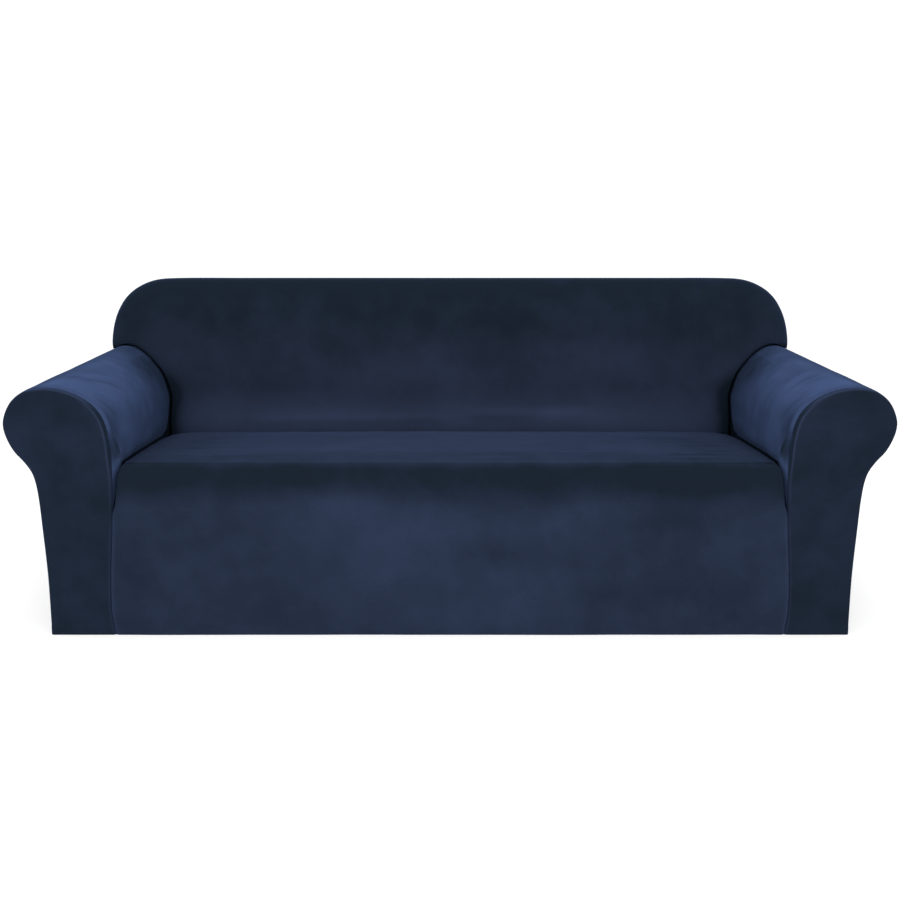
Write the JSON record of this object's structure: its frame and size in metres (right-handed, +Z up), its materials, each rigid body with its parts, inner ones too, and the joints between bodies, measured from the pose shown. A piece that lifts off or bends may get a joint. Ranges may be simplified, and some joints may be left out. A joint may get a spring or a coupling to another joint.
{
  "type": "sofa slipcover",
  "caption": "Fitted stretch velvet slipcover for a wide sofa with rolled arms: tucked seat, rounded back, scroll-shaped arm fronts and a straight hem.",
  "frame": {"origin": "Centre of the box round the cover, at the height of its hem.", "axes": "X runs along the sofa, -Y is the front, +Z is up."},
  "size_m": [2.1114, 0.88, 0.8192],
  "materials": {
    "navy_velvet": "dark navy velvet pile, soft blue sheen at a low angle"
  },
  "bodies": {
    "root": {"seat_front": "navy_velvet", "inside_back": "navy_velvet", "outside_back": "navy_velvet", "arm_cover_left": "navy_velvet", "arm_cover_right": "navy_velvet", "arm_front_left": "navy_velvet", "arm_front_right": "navy_velvet"}
  },
  "joints": []
}
